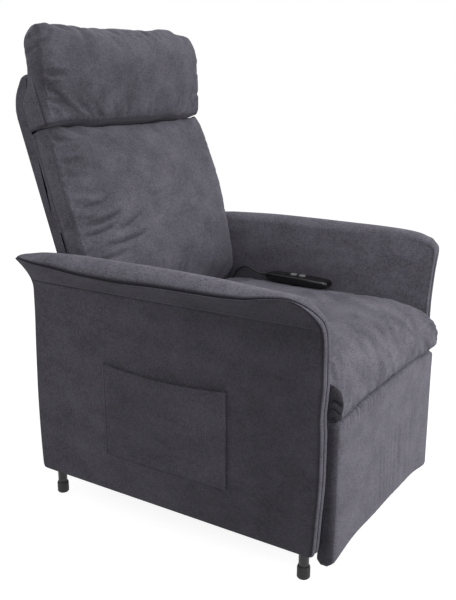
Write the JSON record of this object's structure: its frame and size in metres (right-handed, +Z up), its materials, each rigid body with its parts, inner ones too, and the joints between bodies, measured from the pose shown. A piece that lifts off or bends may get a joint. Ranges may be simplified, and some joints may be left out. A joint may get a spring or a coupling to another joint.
{
  "type": "lift recliner chair",
  "caption": "Upholstered armchair that lifts and tilts its sitter to their feet, and reclines its back while a footrest opens; with a cabled handset.",
  "frame": {"origin": "on the floor below the middle of the chair", "axes": "+Z up, -Y towards the chair's front, +X towards the sitter's left"},
  "size_m": [0.7198, 0.8214, 1.1223],
  "materials": {
    "upholstery": "soft dark grey chenille",
    "webbing": "woven elastic",
    "black_steel": "satin black",
    "bright_steel": "zinc plated",
    "frame_wood": "plain plywood",
    "rubber_cap": "matte",
    "black_plastic": "fine texture",
    "button_plastic": "satin"
  },
  "bodies": {
    "base": {"side_rails": "black_steel", "rail_plugs": "black_plastic", "legs": "black_steel", "foot_caps": "rubber_cap", "base_front_tube": "black_steel", "base_rear_tube": "black_steel", "pivot_plates": "black_steel", "base_pivot_pins": "bright_steel", "lift_motor_bracket": "black_steel", "control_box": "black_plastic", "mains_inlet": "black_plastic"},
    "lift_arms": {"front_lift_arms": "black_steel", "torque_tube": "black_steel", "lift_crank": "black_steel"},
    "rear_arms": {"rear_lift_arms": "black_steel"},
    "lift_housing": {"lift_motor": "black_plastic"},
    "lift_ram": {"lift_rod": "bright_steel"},
    "chair": {"box_side_left": "frame_wood", "box_side_right": "frame_wood", "box_front_rail": "frame_wood", "box_rear_rail": "frame_wood", "chair_cross_tubes": "black_steel", "mechanism_rail_left": "black_steel", "mechanism_rail_right": "black_steel", "recline_hangers": "black_steel", "rear_hangers": "black_steel", "chair_hanger_pins": "bright_steel", "crank_pivot_pins": "bright_steel", "recline_motor_bracket": "black_steel", "seat_webbing": "webbing", "rear_panel": "upholstery", "seat_cushion": "upholstery", "arm_left": "upholstery", "arm_right": "upholstery", "side_pocket": "upholstery", "handset": "black_plastic", "handset_gland": "black_plastic", "handset_cord": "black_plastic"},
    "back": {"back_shell": "upholstery", "back_board": "frame_wood", "back_cushion": "upholstery", "head_pillow": "upholstery", "recline_plates": "black_steel", "recline_tube": "black_steel", "recline_crank": "black_steel"},
    "recline_housing": {"recline_motor": "black_plastic"},
    "recline_ram": {"recline_rod": "bright_steel"},
    "cranks": {"footrest_cranks": "black_steel", "crank_link_pins": "bright_steel"},
    "rockers": {"footrest_rockers": "black_steel"},
    "long_links": {"footrest_long_links": "black_steel", "rocker_link_pins": "bright_steel"},
    "short_links": {"footrest_short_links": "black_steel"},
    "footrest": {"footrest_brackets": "black_steel", "footrest_pins": "bright_steel", "footrest_board": "frame_wood", "footrest_pad": "upholstery"},
    "up_key": {"button_up": "button_plastic"},
    "down_key": {"button_down": "button_plastic"}
  },
  "joints": [
    {"name": "lift", "type": "hinge", "parent": "base", "child": "lift_arms", "pos_m": [0, -0.1636, 0.13], "axis": [1, 0, 0], "range_deg": [0, 60]},
    {"name": "chair_tilt", "type": "hinge", "parent": "lift_arms", "child": "chair", "pos_m": [0, 0.1014, 0.15], "axis": [1, 0, 0], "range_deg": [-36, 0]},
    {"name": "rear_arm_pivot", "type": "hinge", "parent": "base", "child": "rear_arms", "pos_m": [0, -0.0886, 0.1579], "axis": [1, 0, 0], "range_deg": [0, 53]},
    {"name": "lift_housing_pivot", "type": "hinge", "parent": "base", "child": "lift_housing", "pos_m": [0, 0.2614, 0.15], "axis": [1, 0, 0], "range_deg": [0, 2]},
    {"name": "lift_rod_slide", "type": "slide", "parent": "lift_housing", "child": "lift_ram", "axis": [0, -0.9916, 0.1292], "range_m": [0, 0.079]},
    {"name": "recline", "type": "hinge", "parent": "chair", "child": "back", "pos_m": [0, 0.2334, 0.4], "axis": [-1, 0, 0], "range_deg": [0, 40]},
    {"name": "recline_housing_pivot", "type": "hinge", "parent": "chair", "child": "recline_housing", "pos_m": [0, -0.1436, 0.262], "axis": [1, 0, 0], "range_deg": [0, 1]},
    {"name": "recline_rod_slide", "type": "slide", "parent": "recline_housing", "child": "recline_ram", "axis": [0, 0.9913, 0.1317], "range_m": [-0.063, 0]},
    {"name": "footrest_crank_pivot", "type": "hinge", "parent": "chair", "child": "cranks", "pos_m": [0, -0.3086, 0.306], "axis": [-1, 0, 0], "range_deg": [0, 85]},
    {"name": "footrest_rocker_pivot", "type": "hinge", "parent": "chair", "child": "rockers", "pos_m": [0, -0.2486, 0.286], "axis": [-1, 0, 0], "range_deg": [0, 85]},
    {"name": "footrest_long_link_pivot", "type": "hinge", "parent": "cranks", "child": "long_links", "pos_m": [0, -0.2286, 0.19], "axis": [-1, 0, 0], "range_deg": [-85, 0]},
    {"name": "footrest_short_link_pivot", "type": "hinge", "parent": "cranks", "child": "short_links", "pos_m": [0, -0.2436, 0.105], "axis": [-1, 0, 0], "range_deg": [-85, 0]},
    {"name": "footrest_board_pivot", "type": "hinge", "parent": "long_links", "child": "footrest", "pos_m": [0, -0.3226, 0.306], "axis": [-1, 0, 0], "range_deg": [0, 85]},
    {"name": "up_key_press", "type": "slide", "parent": "chair", "child": "up_key", "axis": [0, 0, -1], "range_m": [0, 0.001], "stiffness_N_per_m": 400},
    {"name": "down_key_press", "type": "slide", "parent": "chair", "child": "down_key", "axis": [0, 0, -1], "range_m": [0, 0.001], "stiffness_N_per_m": 400}
  ],
  "couplings": [
    {"joint": "chair_tilt", "follows": "lift", "ratio": -0.6},
    {"joint": "rear_arm_pivot", "follows": "lift", "ratio": 0.8703},
    {"joint": "lift_housing_pivot", "follows": "lift", "ratio": 0.02305},
    {"joint": "lift_rod_slide", "follows": "lift", "m_per_rad": 0.0741},
    {"joint": "recline_housing_pivot", "follows": "recline", "ratio": 0.00889},
    {"joint": "recline_rod_slide", "follows": "recline", "m_per_rad": -0.08813},
    {"joint": "footrest_crank_pivot", "follows": "recline", "ratio": 2.1},
    {"joint": "footrest_rocker_pivot", "follows": "recline", "ratio": 2.1},
    {"joint": "footrest_long_link_pivot", "follows": "recline", "ratio": -2.1},
    {"joint": "footrest_short_link_pivot", "follows": "recline", "ratio": -2.1},
    {"joint": "footrest_board_pivot", "follows": "recline", "ratio": 2.1}
  ]
}
